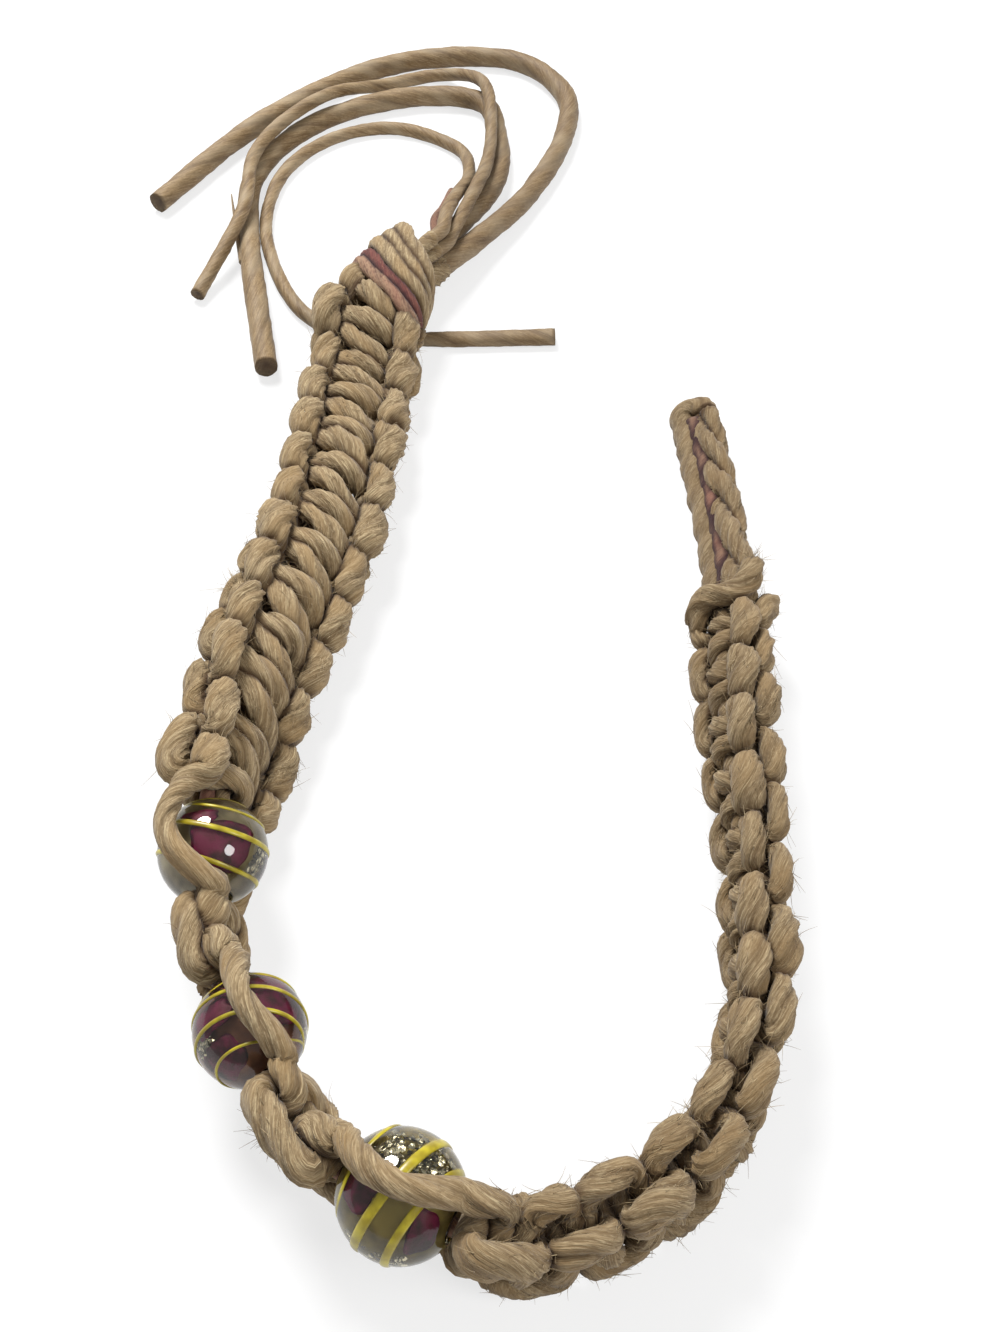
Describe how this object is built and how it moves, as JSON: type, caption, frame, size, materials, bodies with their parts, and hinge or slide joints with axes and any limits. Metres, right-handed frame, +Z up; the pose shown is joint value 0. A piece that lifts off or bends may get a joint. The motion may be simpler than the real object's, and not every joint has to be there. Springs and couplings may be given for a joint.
{
  "type": "beaded hemp cord bracelet",
  "caption": "Hemp cord bracelet of square knots tied over filler cords, with round glass beads at the bend, a small twisted closing loop and a wrapped neck with loose tails.",
  "frame": {"origin": "bottom centre of the knotted band without its loose tails, on the surface it lies on", "axes": "+Y along the laid-out U from the beads towards the tails, +Z up from the surface"},
  "size_m": [0.0614, 0.143, 0.0127],
  "materials": {
    "hemp_knotted": "rough twisted hemp fibre",
    "hemp_tail": "waxed twisted hemp cord",
    "maroon_cord": "dyed twisted hemp cord",
    "glass_1": "polished glass with purple patches and raised yellow lines",
    "glass_2": "polished glass with maroon patches and raised yellow lines",
    "glass_3": "polished glass with silver flecks and raised yellow lines"
  },
  "bodies": {
    "band": {"knotting_cord_a": "hemp_knotted", "knotting_cord_b": "hemp_knotted", "filler_cord_1": "hemp_knotted", "filler_cord_2": "hemp_knotted", "filler_cord_maroon": "maroon_cord", "neck_wrap": "hemp_knotted", "neck_wrap_maroon": "maroon_cord", "loop_cord": "hemp_knotted", "loop_twist_1": "hemp_knotted", "loop_twist_2": "hemp_knotted", "tail_thick_1": "hemp_tail", "tail_thick_2": "hemp_tail", "tail_thin_1": "hemp_tail", "tail_thin_2": "hemp_tail", "tail_maroon": "maroon_cord"},
    "bead_1": {"bead_1": "glass_1"},
    "bead_2": {"bead_2": "glass_2"},
    "bead_3": {"bead_3": "glass_3"}
  },
  "joints": [
    {"name": "bead_1_spin", "type": "hinge", "parent": "band", "child": "bead_1", "pos_m": [-0.0197, -0.0218, 0.00624], "axis": [0.0995, -0.995, 0], "continuous": true},
    {"name": "bead_2_spin", "type": "hinge", "parent": "band", "child": "bead_2", "pos_m": [-0.0157, -0.0349, 0.00617], "axis": [0.5145, -0.8575, 0], "continuous": true},
    {"name": "bead_3_spin", "type": "hinge", "parent": "band", "child": "bead_3", "pos_m": [-0.00545, -0.0454, 0.00641], "axis": [0.9019, -0.4319, 0], "continuous": true}
  ]
}
